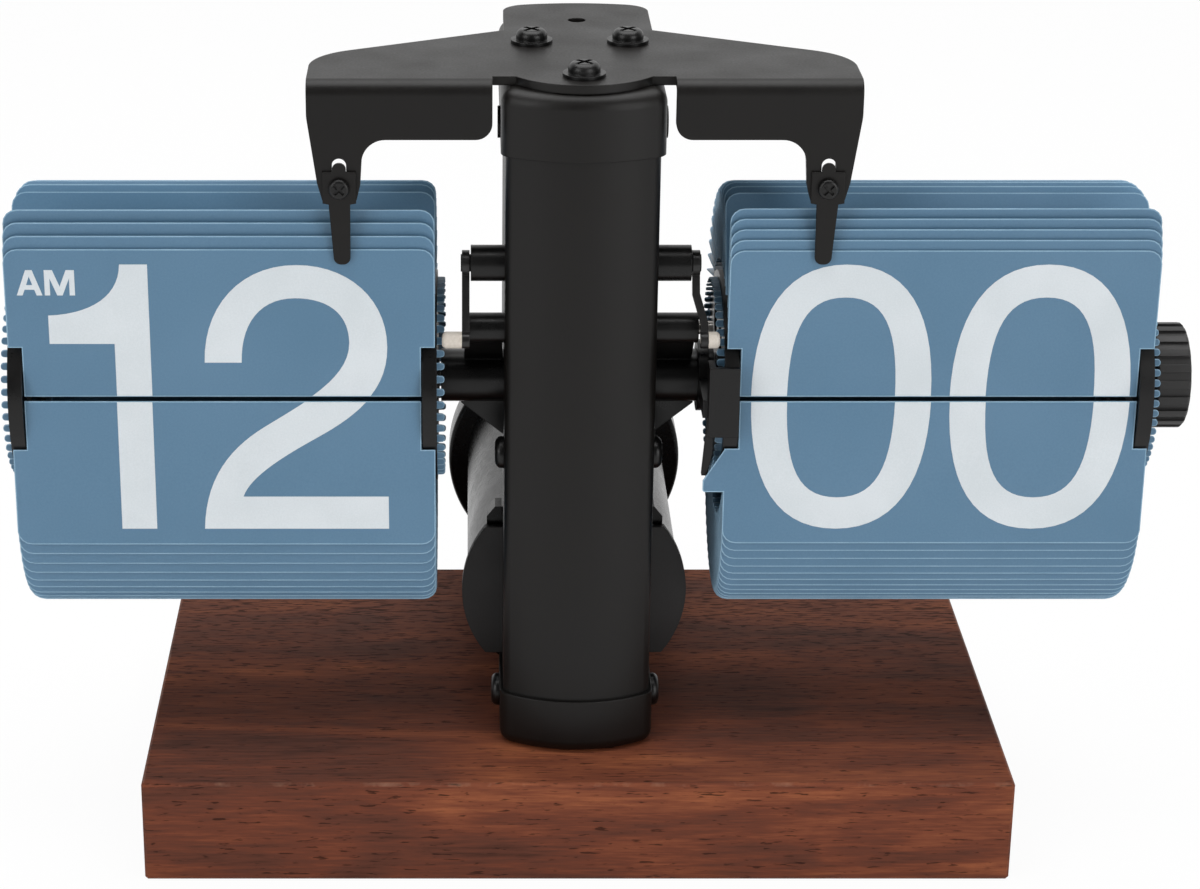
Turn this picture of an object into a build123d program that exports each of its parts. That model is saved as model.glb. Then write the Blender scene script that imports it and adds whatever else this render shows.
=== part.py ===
from build123d import *
import math
import os

os.makedirs("parts", exist_ok=True)

# Driving sizes in millimetres. Origin: middle of the underside of the wooden base, +Z up, front towards -Y.
base_w = 153.0
base_d = 92.0
base_t = 19.2
base_edge = 0.5

# Clearances
run_gap = 0.05
side_gap = 0.2
lever_gap = 0.35
pass_gap = 0.3
hub_gap = 0.3
notch_room = 0.58
cell_play = 0.7
drum_clear = 2.8

# Central column: flat sides, bowed front and back
pillar_w = 26.0
pillar_front_bow = 4.4
pillar_back_bow = 4.5
pillar_corner = 2.5
pillar_wall = 1.2
case_wall = 1.6
cap_wall = 0.8
cap_roof = 3.2

# Flaps and the drums that carry them
hinge_r = 17.0
wheel_rim = 1.6
wheel_t = 2.5
wheel_proud = 0.3
hub_r = 4.0
pin_r = 0.8
pin_out = 1.3
flap_w = 72.7
flap_h = 25.7
flap_t = 0.18
flap_corner = 2.4
split_angle = 6.5
split_gap = 0.7
hour_flaps = 48
minute_flaps = 60
hour_upright = 4
minute_upright = 5
fallen_tilt = 1.2

# Lean of the flaps, from upright towards the back, against the place of their hinge on the drum
lean_table = ((40.0, 24.0), (57.0, 42.0), (180.0, 168.0), (270.0, 175.0), (330.0, 177.5), (360.0, 180.0))

# Shafts and bosses, with how far the bosses stand out of the column
shaft_r = 1.4
main_boss_r = 4.65
main_boss_out = 11.0
pivot_boss_r = 3.1
pivot_boss_out = 5.8
stud_boss_r = 2.6
stud_boss_out = 7.3
gusset_out = 7.5

# Battery drum behind the column, sized round its cell
cell_r = 17.1
cell_len = 61.5
cell_nub = 1.5
drum_wall = 1.6
flange_t = 1.6
flange_lip = 1.0
flange_flat = 12.5
cover_side = 3.75
cover_len = 10.0
cover_wall = 3.4
contact_t = 0.4
spring_space = 6.4

# Top bracket and its fingers
plate_t = 1.5
tab_out = 27.7
finger_t = 0.5
finger_screw_r = 0.9
finger_travel = 3.8

# Gear train, all one module
module = 0.4
big_teeth = 60
motor_teeth = 10
first_pinion_teeth = 14
counter_teeth = 56
second_pinion_teeth = 10
counter_angle = 60.0
motor_angle = 249.0
backlash = 0.12

# Places from front to back
axis_y = -14.0
pillar_front = axis_y - 20.1
pillar_back = axis_y + 37.0
detent_y = axis_y - 10.0
stud_y = axis_y - 10.0
drum_front = axis_y + 0.8
cavity_front = drum_front + flange_t
cell_start = cavity_front + contact_t + spring_space
cell_end = cell_start + cell_len
cover_inside = cell_end + contact_t
cover_end = cover_inside + cover_wall
cover_front = cover_end - cover_len

# Places in height, from the base up
drum_r = cell_r + cell_play + drum_wall
drum_z = base_t + drum_clear + drum_r
notch_top = drum_z + drum_r + 1.0
axis_z = notch_top + 21.8
pillar_top = axis_z + flap_h + 27.3
cap_top = pillar_top + cap_roof
plate_top = cap_top + plate_t
tab_low = axis_z + flap_h + 11.0
finger_screw_z = tab_low + 2.9
detent_z = axis_z + hinge_r + 7.1
stud_z = axis_z + 12.4

# Places across, from the middle outwards
case_wall_x = (pillar_w / 2 - pillar_wall - case_wall, pillar_w / 2 - pillar_wall)
main_boss_x = pillar_w / 2 + main_boss_out
pivot_boss_x = pillar_w / 2 + pivot_boss_out
gusset_end = pillar_w / 2 + gusset_out
lever_x0 = gusset_end + 0.5
carry_tab_x = lever_x0 + 0.3
flap_inner_x = main_boss_x + 0.9
flap_outer_x = flap_inner_x + flap_w
inner_wheel_x = flap_inner_x - wheel_proud
outer_wheel_x = flap_outer_x + wheel_proud - wheel_t
arm_x0 = pivot_boss_x + side_gap
arm_w = 1.3
lever_x1 = inner_wheel_x - pin_out - 0.4
tab_x = pillar_w / 2 + tab_out

# Flap notch round the wheel rim, and the looseness of the front two hanging flaps
wheel_r = hinge_r + wheel_rim
notch_depth = wheel_t - wheel_proud + side_gap
notch_half = math.sqrt(wheel_r ** 2 - hinge_r ** 2) + notch_room
fallen_play = 2 * flap_t - 0.02
second_play = flap_t - 0.06


def block(x0, x1, y0, y1, z0, z1):
    return Pos((x0 + x1) / 2, (y0 + y1) / 2, (z0 + z1) / 2) * Box(x1 - x0, y1 - y0, z1 - z0)


def rod_x(x0, x1, y, z, r):
    return Pos((x0 + x1) / 2, y, z) * Rot(Y=90) * Cylinder(r, abs(x1 - x0))


def rod_y(y0, y1, x, z, r):
    return Pos(x, (y0 + y1) / 2, z) * Rot(X=90) * Cylinder(r, abs(y1 - y0))


def rod_z(z0, z1, x, y, r):
    return Pos(x, y, (z0 + z1) / 2) * Cylinder(r, abs(z1 - z0))


def side_plate(points, x0, x1):
    face = make_face(Polyline(*points, close=True))
    return extrude(Plane.YZ.offset(min(x0, x1)) * face, amount=abs(x1 - x0))


def front_plate(face, y0, y1):
    return extrude(Plane.XZ.offset(-y1) * face, amount=y1 - y0)


def outline(points, rounds):
    face = make_face(Polyline(*points, close=True))
    for place, radius in rounds:
        corner = face.vertices().sort_by_distance((place[0], place[1], 0))[0]
        face = fillet(corner, radius)
    return face


def save(name, *shapes):
    solids = []
    for shape in shapes:
        solids.extend(shape.solids())
    whole = solids[0] if len(solids) == 1 else Compound(children=solids)
    export_step(whole, "parts/" + name + ".step")


def both_sides(shape):
    return [shape, mirror(shape, about=Plane.YZ)]


# Column plan at any growth outwards, used by the tube, cap, foot cup and foot block
def column_plan(grow):
    w = pillar_w / 2 + grow
    yf = pillar_front - grow
    yb = pillar_back + grow
    cf = yf + pillar_front_bow
    cb = yb - pillar_back_bow
    edges = [
        ThreePointArc((-w, cf), (0, yf), (w, cf)),
        Line((w, cf), (w, cb)),
        ThreePointArc((w, cb), (0, yb), (-w, cb)),
        Line((-w, cb), (-w, cf)),
    ]
    face = make_face(edges)
    return fillet(face.vertices(), pillar_corner + grow)


def column(grow, z0, z1):
    return extrude(Pos(0, 0, z0) * column_plan(grow), amount=z1 - z0)


def behind(y, z0, z1):
    return block(-pillar_w, pillar_w, y, y + base_d, z0, z1)


# Wooden base with two countersunk bolts let into its underside
bolt_y = (pillar_front + 5.0, pillar_front + 15.5)
bolt_r = 2.0
bolt_head_r = 4.0
bolt_sink = 4.0
bolt_head_t = 2.4
cup_wall = 0.6
cup_floor = 2.0
foot_z = base_t
tube_foot = foot_z + cup_floor
cup_rim = tube_foot + 8.1
cup_back_rim = cup_rim - 2.3
block_top = tube_foot + 12.8
bolt_end = tube_foot + 9.0

wood = block(-base_w / 2, base_w / 2, -base_d / 2, base_d / 2, 0, base_t)
wood = chamfer(wood.edges(), base_edge)
for y in bolt_y:
    wood -= rod_z(-1, base_t + 1, 0, y, bolt_r)
    wood -= rod_z(-1, bolt_sink, 0, y, bolt_head_r + 0.3)
save("wood_base", wood)


def base_bolt(y):
    head = rod_z(bolt_sink - bolt_head_t, bolt_sink, 0, y, bolt_head_r)
    bolt = head + rod_z(bolt_sink, bolt_end, 0, y, bolt_r)
    bolt -= rod_z(bolt_sink - bolt_head_t - 1, bolt_sink - 1.0, 0, y, 1.4)
    return bolt


save("base_bolts", *[base_bolt(y) for y in bolt_y])

# Foot cup: pressed sheet that holds the lower end of the column
cup_back = drum_front + cup_wall
cup_outer = column(cup_wall, foot_z, cup_rim) - behind(cup_back, 0, cap_top)
cup_outer = fillet(cup_outer.edges().group_by(Axis.Z)[0], 2.2)
foot_cup = cup_outer - (column(0.0, tube_foot, cup_rim + 1) - behind(drum_front, 0, cap_top))
foot_cup -= behind(drum_front - 1, cup_back_rim, cup_rim + 1)
foot_screw_y = pillar_front + 11.1
foot_screw_z = tube_foot + 5.1
side_screw_r = 1.25
for y in bolt_y:
    foot_cup -= rod_z(foot_z - 1, tube_foot + 1, 0, y, bolt_r)
foot_cup -= rod_x(-pillar_w, pillar_w, foot_screw_y, foot_screw_z, side_screw_r)
save("foot_cup", foot_cup)

# Foot block inside the column takes the bolts and the two side screws
foot_block = column(-pillar_wall, tube_foot, block_top) - behind(drum_front, 0, cap_top)
for y in bolt_y:
    foot_block -= rod_z(tube_foot - 1, bolt_end, 0, y, bolt_r)
foot_screw_tip = pillar_w / 2 - 6.0
foot_block -= rod_x(foot_screw_tip, pillar_w, foot_screw_y, foot_screw_z, side_screw_r)
foot_block -= rod_x(-pillar_w, -foot_screw_tip, foot_screw_y, foot_screw_z, side_screw_r)
save("foot_block", foot_block)


def side_screw(seat_x, tip_x, y, z, head_r, head_t):
    upward = (Align.CENTER, Align.CENTER, Align.MIN)
    head = Pos(seat_x, y, z) * Rot(Y=90) * Cylinder(head_r, head_t, align=upward)
    rim = head.edges().filter_by(GeomType.CIRCLE).sort_by(Axis.X)[-1]
    head = fillet(rim, head_t * 0.7)
    for turn in (0, 90):
        slot = Pos(seat_x + head_t, y, z) * Rot(X=turn) * Box(head_t, head_r * 0.95, head_r * 0.25)
        head -= slot
    return head + rod_x(tip_x, seat_x, y, z, side_screw_r)


foot_seat = pillar_w / 2 + cup_wall
save("foot_screws", *both_sides(side_screw(foot_seat, foot_screw_tip, foot_screw_y, foot_screw_z, 2.9, 1.5)))

# Column tube: full section above the battery drum, open at the back below it
cap_skirt = pillar_top - 8.1
rivet_y = foot_screw_y
rivet_z = pillar_top - 4.3
rivet_r = 1.2
case_screw_y = detent_y
case_screw_z = axis_z - 10.7
slot_z = drum_z - 0.7
slot_h = 5.6
gusset_foot_z = axis_z - 10.9
gusset_t = 2.0

tube = column(0, tube_foot, pillar_top) - column(-pillar_wall, tube_foot - 1, pillar_top + 1)
tube -= behind(drum_front, tube_foot - 1, notch_top)
tube -= block(-pillar_w, pillar_w, drum_front - 0.8, drum_front + 1, slot_z - slot_h / 2, slot_z + slot_h / 2)
tube -= rod_x(-pillar_w, pillar_w, foot_screw_y, foot_screw_z, side_screw_r)
tube -= rod_x(-pillar_w, pillar_w, rivet_y, rivet_z, rivet_r)
tube -= rod_x(-pillar_w, pillar_w, case_screw_y, case_screw_z, side_screw_r)
tube -= rod_x(-pillar_w, pillar_w, detent_y, detent_z, pivot_boss_r + pass_gap)
tube -= rod_x(-pillar_w, pillar_w, stud_y, stud_z, stud_boss_r + pass_gap)
tube -= rod_x(-pillar_w, pillar_w, axis_y, axis_z, main_boss_r + pass_gap)
gusset_half = gusset_t / 2 + pass_gap
gusset_low = gusset_foot_z - pass_gap
tube -= block(-pillar_w, pillar_w, axis_y - gusset_half, axis_y + gusset_half, gusset_low, axis_z)
save("pillar_tube", tube)

# Top cap: pressed cap over the tube, thick on top for the bracket screws
cap = column(cap_wall, cap_skirt, cap_top)
cap = fillet(cap.edges().group_by(Axis.Z)[-1], 2.5)
cap -= column(0, cap_skirt - 1, pillar_top)
screw_row_x = pillar_w / 2 - 4.7
screw_row_y = axis_y + 9.4
screw_front_y = pillar_front + 7.0
bracket_screws_at = ((-screw_row_x, screw_row_y), (screw_row_x, screw_row_y), (0.0, screw_front_y))
bracket_screw_r = 1.5
cap -= rod_x(-pillar_w, pillar_w, rivet_y, rivet_z, rivet_r)
for x, y in bracket_screws_at:
    cap -= rod_z(pillar_top - 1, cap_top + 1, x, y, bracket_screw_r)
save("top_cap", cap)

rivet_seat = pillar_w / 2 + cap_wall
rivet_inside = pillar_w / 2 - pillar_wall
rivet = rod_x(rivet_seat, rivet_seat + 0.5, rivet_y, rivet_z, 2.7)
rivet += rod_x(rivet_inside, rivet_seat, rivet_y, rivet_z, rivet_r)
rivet += rod_x(rivet_inside - 0.6, rivet_inside, rivet_y, rivet_z, 2.0)
save("cap_rivets", *both_sides(rivet))

# Top bracket: one bent sheet with a tongue, two arms, front flanges and slotted tabs
flange_front = axis_y - hinge_r * math.cos(math.radians(split_angle - 3.0)) - 0.13
arm_in = pillar_w / 2 + 2.2
arm_out = tab_x + 5.3
arm_low = plate_top - 9.9
arm_side_low = plate_top - 6.0
arm_back_y = flange_front + 17.6
tab_half = 2.7
bow_x = pillar_w / 2 - 1.7
relief_y = flange_front + 3.5
tongue_w = pillar_w / 2
tongue_root = axis_y + 18.0
tongue_end = pillar_back + 1.2
hang_hole_y = tongue_end - 12.9
hang_hole_r = 1.6
bend_r = 2.4


def bracket_plan():
    tongue_side = tongue_end - 2.2
    half = [
        Line((bow_x, relief_y), (arm_in, relief_y)),
        Line((arm_in, relief_y), (arm_in, flange_front)),
        Line((arm_in, flange_front), (arm_out, flange_front)),
        Line((arm_out, flange_front), (arm_out, arm_back_y)),
        Line((arm_out, arm_back_y), (tongue_w, tongue_root)),
        Line((tongue_w, tongue_root), (tongue_w, tongue_side)),
    ]
    other = [mirror(edge, about=Plane.YZ) for edge in half]
    front = ThreePointArc((-bow_x, relief_y), (0, pillar_front + 0.6), (bow_x, relief_y))
    back = ThreePointArc((-tongue_w, tongue_side), (0, tongue_end), (tongue_w, tongue_side))
    face = make_face(half + other + [front, back])
    for x, y, r in ((arm_out, arm_back_y, 12.0), (tongue_w, tongue_side, 5.0)):
        for sign in (-1, 1):
            corner = face.vertices().sort_by_distance((sign * x, y, 0))[0]
            face = fillet(corner, r)
    return face


def flange_face(sign):
    tab_in = tab_x - tab_half
    tab_far = tab_x + tab_half
    root_x = tab_in - 1.3
    points = [
        (arm_in, plate_top), (arm_out, plate_top), (arm_out, arm_side_low), (tab_far + 1.0, tab_low + 3.7),
        (tab_far, tab_low), (tab_in, tab_low), (tab_in - 0.8, tab_low + 3.3), (root_x, arm_low),
        (arm_in, arm_low),
    ]
    rounds = [((arm_in, arm_low), 2.8), ((root_x, arm_low), 4.0), ((arm_out, arm_side_low), 8.0)]
    rounds += [((tab_in, tab_low), 1.2), ((tab_far, tab_low), 1.2)]
    points = [(sign * x, z) for x, z in points]
    rounds = [((sign * p[0], p[1]), r) for p, r in rounds]
    return outline(points, rounds)


bracket = extrude(Pos(0, 0, plate_top - plate_t) * bracket_plan(), amount=plate_t)
tab_slot_r = finger_screw_r + pass_gap
tab_slot_low = finger_screw_z - tab_slot_r
tab_slot_high = finger_screw_z + finger_travel + tab_slot_r
for sign in (-1, 1):
    bracket += front_plate(flange_face(sign), flange_front, flange_front + plate_t)
for sign in (-1, 1):
    slot = block(sign * tab_x - tab_slot_r, sign * tab_x + tab_slot_r, flange_front - 1, flange_front + 3,
                 tab_slot_low + tab_slot_r, tab_slot_high - tab_slot_r)
    for z in (tab_slot_low + tab_slot_r, tab_slot_high - tab_slot_r):
        slot += rod_y(flange_front - 1, flange_front + 3, sign * tab_x, z, tab_slot_r)
    bracket -= slot
for depth, radius in ((0.0, bend_r), (plate_t, bend_r - plate_t)):
    bends = [e for e in bracket.edges().filter_by(Axis.X)
             if abs(e.center().Z - plate_top + depth) < 0.01
             and abs(e.center().Y - flange_front - depth) < 0.01]
    bracket = fillet(bends, radius)
for x, y in bracket_screws_at:
    bracket -= rod_z(plate_top - 3, plate_top + 1, x, y, bracket_screw_r)
bracket -= rod_z(plate_top - 3, plate_top + 1, 0, hang_hole_y, hang_hole_r)
save("top_bracket", bracket)


def bracket_screw(x, y):
    flange = rod_z(plate_top, plate_top + 0.6, x, y, 3.6)
    head = Pos(x, y, plate_top + 0.6) * Cylinder(2.7, 1.8, align=(Align.CENTER, Align.CENTER, Align.MIN))
    head = fillet(head.edges().filter_by(GeomType.CIRCLE).sort_by(Axis.Z)[-1], 1.2)
    for turn in (45, 135):
        head -= Pos(x, y, plate_top + 2.4) * Rot(Z=turn) * Box(3.6, 0.8, 1.8)
    return flange + head + rod_z(pillar_top, plate_top, x, y, bracket_screw_r)


save("bracket_screws", *[bracket_screw(x, y) for x, y in bracket_screws_at])

# Two leaf fingers that keep the front flaps up, each clamped in its slot by a screw and nut
finger_front = flange_front - finger_t
head_top = finger_screw_z + 2.8
neck_top = finger_screw_z + 4.3
neck_half = 1.15
head_low = finger_screw_z - 2.6
tip_z = finger_screw_z - 13.3


def finger(sign):
    c = sign * tab_x
    lean = -sign * 0.35
    points = [
        (c - 2.8, head_top), (c - neck_half, head_top), (c - neck_half, neck_top), (c + neck_half, neck_top),
        (c + neck_half, head_top), (c + 2.8, head_top), (c + 2.8, head_low), (c + 1.8, head_low - 0.2),
        (c + lean + 1.35, tip_z), (c + lean - 1.35, tip_z), (c - 1.8, head_low - 0.2), (c - 2.8, head_low),
    ]
    rounds = [((c + lean + 1.35, tip_z), 1.2), ((c + lean - 1.35, tip_z), 1.2)]
    rounds += [((c - neck_half, neck_top), 1.1), ((c + neck_half, neck_top), 1.1)]
    shape = front_plate(outline(points, rounds), finger_front, flange_front)
    return shape - rod_y(finger_front - 1, flange_front + 1, c, finger_screw_z, finger_screw_r)


def finger_screw(sign):
    c = sign * tab_x
    head = Pos(c, finger_front, finger_screw_z) * Rot(X=90) * Cylinder(
        1.75, 1.1, align=(Align.CENTER, Align.CENTER, Align.MIN))
    head = fillet(head.edges().filter_by(GeomType.CIRCLE).sort_by(Axis.Y)[0], 0.6)
    for turn in (45, 135):
        head -= Pos(c, finger_front - 1.1, finger_screw_z) * Rot(Y=turn) * Box(2.2, 1.0, 0.5)
    shank_end = flange_front + plate_t + 1.5
    screw = head + rod_y(finger_front, shank_end, c, finger_screw_z, finger_screw_r)
    hexagon = Pos(c, finger_screw_z) * RegularPolygon(2.1, 6)
    nut = front_plate(hexagon, flange_front + plate_t, shank_end - 0.3)
    return screw, nut - rod_y(flange_front, shank_end, c, finger_screw_z, finger_screw_r)


for side, sign in (("left", -1), ("right", 1)):
    save("finger_" + side, finger(sign))
    save("finger_screw_" + side, *finger_screw(sign))

# Flap of either display, hinge line on X, standing up from its hinge


def hinge_chord(pitch):
    return 2 * hinge_r * math.sin(math.radians(pitch / 2))


def flap(sign, pitch, tab=False):
    tail = (hinge_chord(pitch) - split_gap) / 2
    a = flap_inner_x
    b = flap_outer_x
    points = [(a + notch_depth, -tail), (b - notch_depth, -tail), (b - notch_depth, notch_half)]
    points += [(b, notch_half), (b, flap_h), (a, flap_h)]
    if tab:
        end = notch_half + 8.0
        points += [(a, end), (carry_tab_x + 0.3, end), (carry_tab_x, end - 0.3), (carry_tab_x, end - 2.1),
                   (a, notch_half + 0.2)]
    points += [(a, notch_half), (a + notch_depth, notch_half)]
    rounds = [((a, flap_h), flap_corner), ((b, flap_h), flap_corner)]
    points = [(sign * x, z) for x, z in points]
    rounds = [((sign * p[0], p[1]), r) for p, r in rounds]
    return front_plate(outline(points, rounds), -flap_t / 2, flap_t / 2)


def lean_at(angle):
    previous = lean_table[0]
    for entry in lean_table[1:]:
        if angle <= entry[0]:
            share = (angle - previous[0]) / (entry[0] - previous[0])
            return previous[1] + share * (entry[1] - previous[1])
        previous = entry
    return previous[1]


def place_flap(shape, angle, lean, play=0.0):
    a = math.radians(angle)
    r = hinge_r + play
    return Pos(0, axis_y - r * math.cos(a), axis_z + r * math.sin(a)) * Rot(X=-lean) * shape


def make_display(name, sign, count, upright, carry_tab):
    pitch = 360.0 / count
    plain = flap(sign, pitch)
    first = split_angle + pitch / 2
    standing = []
    fan = []
    hanging = []
    for k in range(count - 1):
        angle = first + k * pitch
        if k < upright:
            standing.append(place_flap(plain, angle, 0))
            continue
        play = second_play if k == count - 2 else 0.0
        shape = place_flap(plain, angle, lean_at(angle), play)
        if angle < 180:
            fan.append(shape)
        else:
            hanging.append(shape)
    fallen = place_flap(flap(sign, pitch, carry_tab), first - pitch, 180 + fallen_tilt, fallen_play)
    save(name + "_flaps_standing", *standing)
    save(name + "_flaps_fan", *fan)
    save(name + "_flaps_hanging", *hanging)
    save(name + "_flap_fallen", fallen)


make_display("hour", -1, hour_flaps, hour_upright, False)
make_display("minute", 1, minute_flaps, minute_upright, True)

# Drum wheels carry the flap pins round their rims
wheel_holes = 6
hole_ring_r = (hub_r + hinge_r - pin_r) / 2
wheel_hole_r = (hinge_r - pin_r - hub_r) / 2 - 3.0


def wheel(x, hub_x0, hub_x1):
    disc = rod_x(x, x + wheel_t, axis_y, axis_z, wheel_r)
    disc += rod_x(hub_x0, hub_x1, axis_y, axis_z, hub_r)
    for k in range(wheel_holes):
        a = 2 * math.pi * k / wheel_holes
        y = axis_y + hole_ring_r * math.cos(a)
        disc -= rod_x(x - 1, x + wheel_t + 1, y, axis_z + hole_ring_r * math.sin(a), wheel_hole_r)
    return disc - rod_x(hub_x0 - 1, hub_x1 + 1, axis_y, axis_z, shaft_r)


def pin_ring(count, x0, x1):
    pins = []
    first = split_angle + 180.0 / count
    for k in range(count):
        a = math.radians(first + k * 360.0 / count)
        y = axis_y - hinge_r * math.cos(a)
        pins.append(rod_x(x0, x1, y, axis_z + hinge_r * math.sin(a), pin_r))
    return pins


def make_drum(name, sign, count):
    inner = wheel(inner_wheel_x, main_boss_x + hub_gap, inner_wheel_x + wheel_t + 3.0)
    outer = wheel(outer_wheel_x, outer_wheel_x - 3.0, outer_wheel_x + wheel_t)
    pins = pin_ring(count, inner_wheel_x - pin_out, inner_wheel_x)
    pins += pin_ring(count, outer_wheel_x + wheel_t, outer_wheel_x + wheel_t + pin_out)
    if sign < 0:
        inner = mirror(inner, about=Plane.YZ)
        outer = mirror(outer, about=Plane.YZ)
        pins = [mirror(p, about=Plane.YZ) for p in pins]
    save(name + "_inner_wheel", inner)
    save(name + "_outer_wheel", outer)
    save(name + "_flap_pins", *pins)


make_drum("hour", -1, hour_flaps)
make_drum("minute", 1, minute_flaps)

# Layers of the movement across the column
wall_in = case_wall_x[0]
plate_x = (4.8 - wall_in, 5.8 - wall_in)
hour_x = (1.0 - wall_in, 2.2 - wall_in)
minute_x = (wall_in - 2.6, wall_in - 1.4)
pinion_x = (wall_in - 5.2, minute_x[0])
counter_x = (wall_in - 4.8, wall_in - 3.4)
motor_x = (plate_x[1], wall_in - 5.8)

# Shafts, clip and setting knob
shaft_gap = 0.2
centre_x = (plate_x[0] + plate_x[1]) / 2 + shaft_gap
outer_face = outer_wheel_x + wheel_t
knob_x0 = outer_face + pin_out + 1.3
knob_x1 = knob_x0 + 6.0
knob_r = 9.3
knob_ribs = 20
knob_groove = 0.5
shaft_tip = knob_x1 + 1.2
clip_x = outer_face + 0.1
hour_shaft = rod_x(-clip_x - 1.2, centre_x - shaft_gap, axis_y, axis_z, shaft_r)
hour_shaft -= rod_x(-clip_x - 0.6, -clip_x, axis_y, axis_z, shaft_r + 1) - rod_x(
    -clip_x - 1, -clip_x + 1, axis_y, axis_z, shaft_r - 0.4)
save("hour_shaft", hour_shaft)
clip = rod_x(-clip_x - 0.6, -clip_x, axis_y, axis_z, 2.9)
clip -= rod_x(-clip_x - 1, -clip_x + 1, axis_y, axis_z, shaft_r - 0.4)
clip -= block(-clip_x - 1, -clip_x + 1, axis_y - 0.7, axis_y + 0.7, axis_z - 4, axis_z)
save("hour_shaft_clip", clip)
save("minute_shaft", rod_x(centre_x + shaft_gap, shaft_tip, axis_y, axis_z, shaft_r))
knob = rod_x(knob_x0, knob_x1, axis_y, axis_z, knob_r)
knob = chamfer(knob.edges().filter_by(GeomType.CIRCLE), 0.4)
groove_w = math.pi * knob_r / knob_ribs
for k in range(knob_ribs):
    spot = Pos((knob_x0 + knob_x1) / 2, axis_y, axis_z) * Rot(X=360.0 * k / knob_ribs) * Pos(0, knob_r, 0)
    knob -= spot * Box(knob_x1 - knob_x0 + 2, 2 * knob_groove, groove_w)
knob += rod_x(outer_face, knob_x0, axis_y, axis_z, 5.0)
knob -= rod_x(outer_face - 1, knob_x1 + 1, axis_y, axis_z, shaft_r)
save("setting_knob", knob)


# Gear outline with involute flanks and a little backlash
def gear_points(teeth, phase):
    rp = module * teeth / 2
    rb = rp * math.cos(math.radians(20))
    ro = rp + 0.9 * module
    rr = rp - 1.15 * module
    half = math.pi / (2 * teeth) - backlash / (2 * rp)
    inv_p = math.tan(math.radians(20)) - math.radians(20)

    def half_angle(r):
        if r <= rb:
            return half + inv_p
        at = math.acos(rb / r)
        return half + inv_p - (math.tan(at) - at)

    points = []
    radii = [rr, max(rr + 0.02, min(rb, rp)), rp, (rp + ro) / 2, ro]
    for k in range(teeth):
        mid = phase + 2 * math.pi * k / teeth
        for r in radii:
            points.append((r, mid - half_angle(r)))
        for r in reversed(radii):
            points.append((r, mid + half_angle(r)))
    return points


def gear(teeth, phase_deg, y, z, x0, x1, bore):
    points = []
    for r, a in gear_points(teeth, math.radians(phase_deg)):
        points.append((y + r * math.cos(a), z + r * math.sin(a)))
    return side_plate(points, x0, x1) - rod_x(x0 - 1, x1 + 1, y, z, bore)


# Gear places: motor pinion drives the minute gear, the counter arbor takes the drive on to the hour gear
mesh = module * (big_teeth + motor_teeth) / 2
counter_y = axis_y + mesh * math.cos(math.radians(counter_angle))
counter_z = axis_z + mesh * math.sin(math.radians(counter_angle))
motor_y = axis_y + mesh * math.cos(math.radians(motor_angle))
motor_z = axis_z + mesh * math.sin(math.radians(motor_angle))
arbor_r = 1.0
motor_r = 9.0
motor_shaft_r = 0.8


def facing(teeth, angle, on_tooth):
    step = 360.0 / teeth
    return angle if on_tooth else angle + step / 2


minute_gear = gear(big_teeth, facing(big_teeth, motor_angle, True), axis_y, axis_z, *minute_x, shaft_r)
minute_pinion = gear(first_pinion_teeth, facing(first_pinion_teeth, counter_angle, True), axis_y, axis_z,
                     *pinion_x, shaft_r)
save("minute_gear", minute_gear + minute_pinion)
pinion_end = minute_x[1] + 0.3
save("motor_pinion", gear(motor_teeth, facing(motor_teeth, motor_angle + 180, False), motor_y, motor_z,
                          minute_x[0] - 0.3, pinion_end, motor_shaft_r)
     + rod_x(motor_x[1] - 1.0, pinion_end, motor_y, motor_z, motor_shaft_r))
save("counter_gear", gear(counter_teeth, facing(counter_teeth, counter_angle + 180, False),
                          counter_y, counter_z, *counter_x, arbor_r))
save("counter_pinion", gear(second_pinion_teeth, facing(second_pinion_teeth, counter_angle + 180, True),
                            counter_y, counter_z, hour_x[0] - 0.2, hour_x[1] + 0.2, arbor_r))
save("hour_gear", gear(big_teeth, facing(big_teeth, counter_angle, False), axis_y, axis_z, *hour_x, shaft_r))

# Movement plate, centre bush, standoffs and motor
case_y = (detent_y - pivot_boss_r, axis_y + 19.0)
case_z = (notch_top + 0.7, detent_z + pivot_boss_r + 4.2)
plate_y = (case_y[0] - 0.9, case_y[1] - 1.0)
plate_z = (case_z[0] + 1.0, case_z[1] - 1.0)
standoff_at = (
    (plate_y[0] + 3.0, axis_z + 15.4), (plate_y[1] - 3.0, plate_z[0] + 3.0), (axis_y + 2.0, plate_z[1] - 3.0),
)
standoff_r = 1.8
bush_r = 2.6
plate = block(*plate_x, *plate_y, *plate_z)
plate -= rod_x(plate_x[0] - 1, plate_x[1] + 1, axis_y, axis_z, bush_r)
plate -= rod_x(plate_x[0] - 1, plate_x[1] + 1, counter_y, counter_z, arbor_r + run_gap)
save("movement_plate", plate)
bush = rod_x(plate_x[0] - 1.4, plate_x[1] + 1.4, axis_y, axis_z, bush_r)
save("centre_bush", bush - rod_x(plate_x[0] - 2, plate_x[1] + 2, axis_y, axis_z, shaft_r + run_gap))
standoffs = []
for y, z in standoff_at:
    standoffs.append(rod_x(-case_wall_x[0], plate_x[0], y, z, standoff_r))
    standoffs.append(rod_x(plate_x[1], case_wall_x[0], y, z, standoff_r))
save("plate_standoffs", *standoffs)
motor = rod_x(*motor_x, motor_y, motor_z, motor_r)
motor = fillet(motor.edges().filter_by(GeomType.CIRCLE), 0.8)
motor -= rod_x(motor_x[1] - 1.05, motor_x[1] + 1, motor_y, motor_z, motor_shaft_r + run_gap)
save("motor", motor)
save("counter_arbor", rod_x(-case_wall_x[0] - 0.8, case_wall_x[0] + 0.8, counter_y, counter_z, arbor_r))

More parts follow.
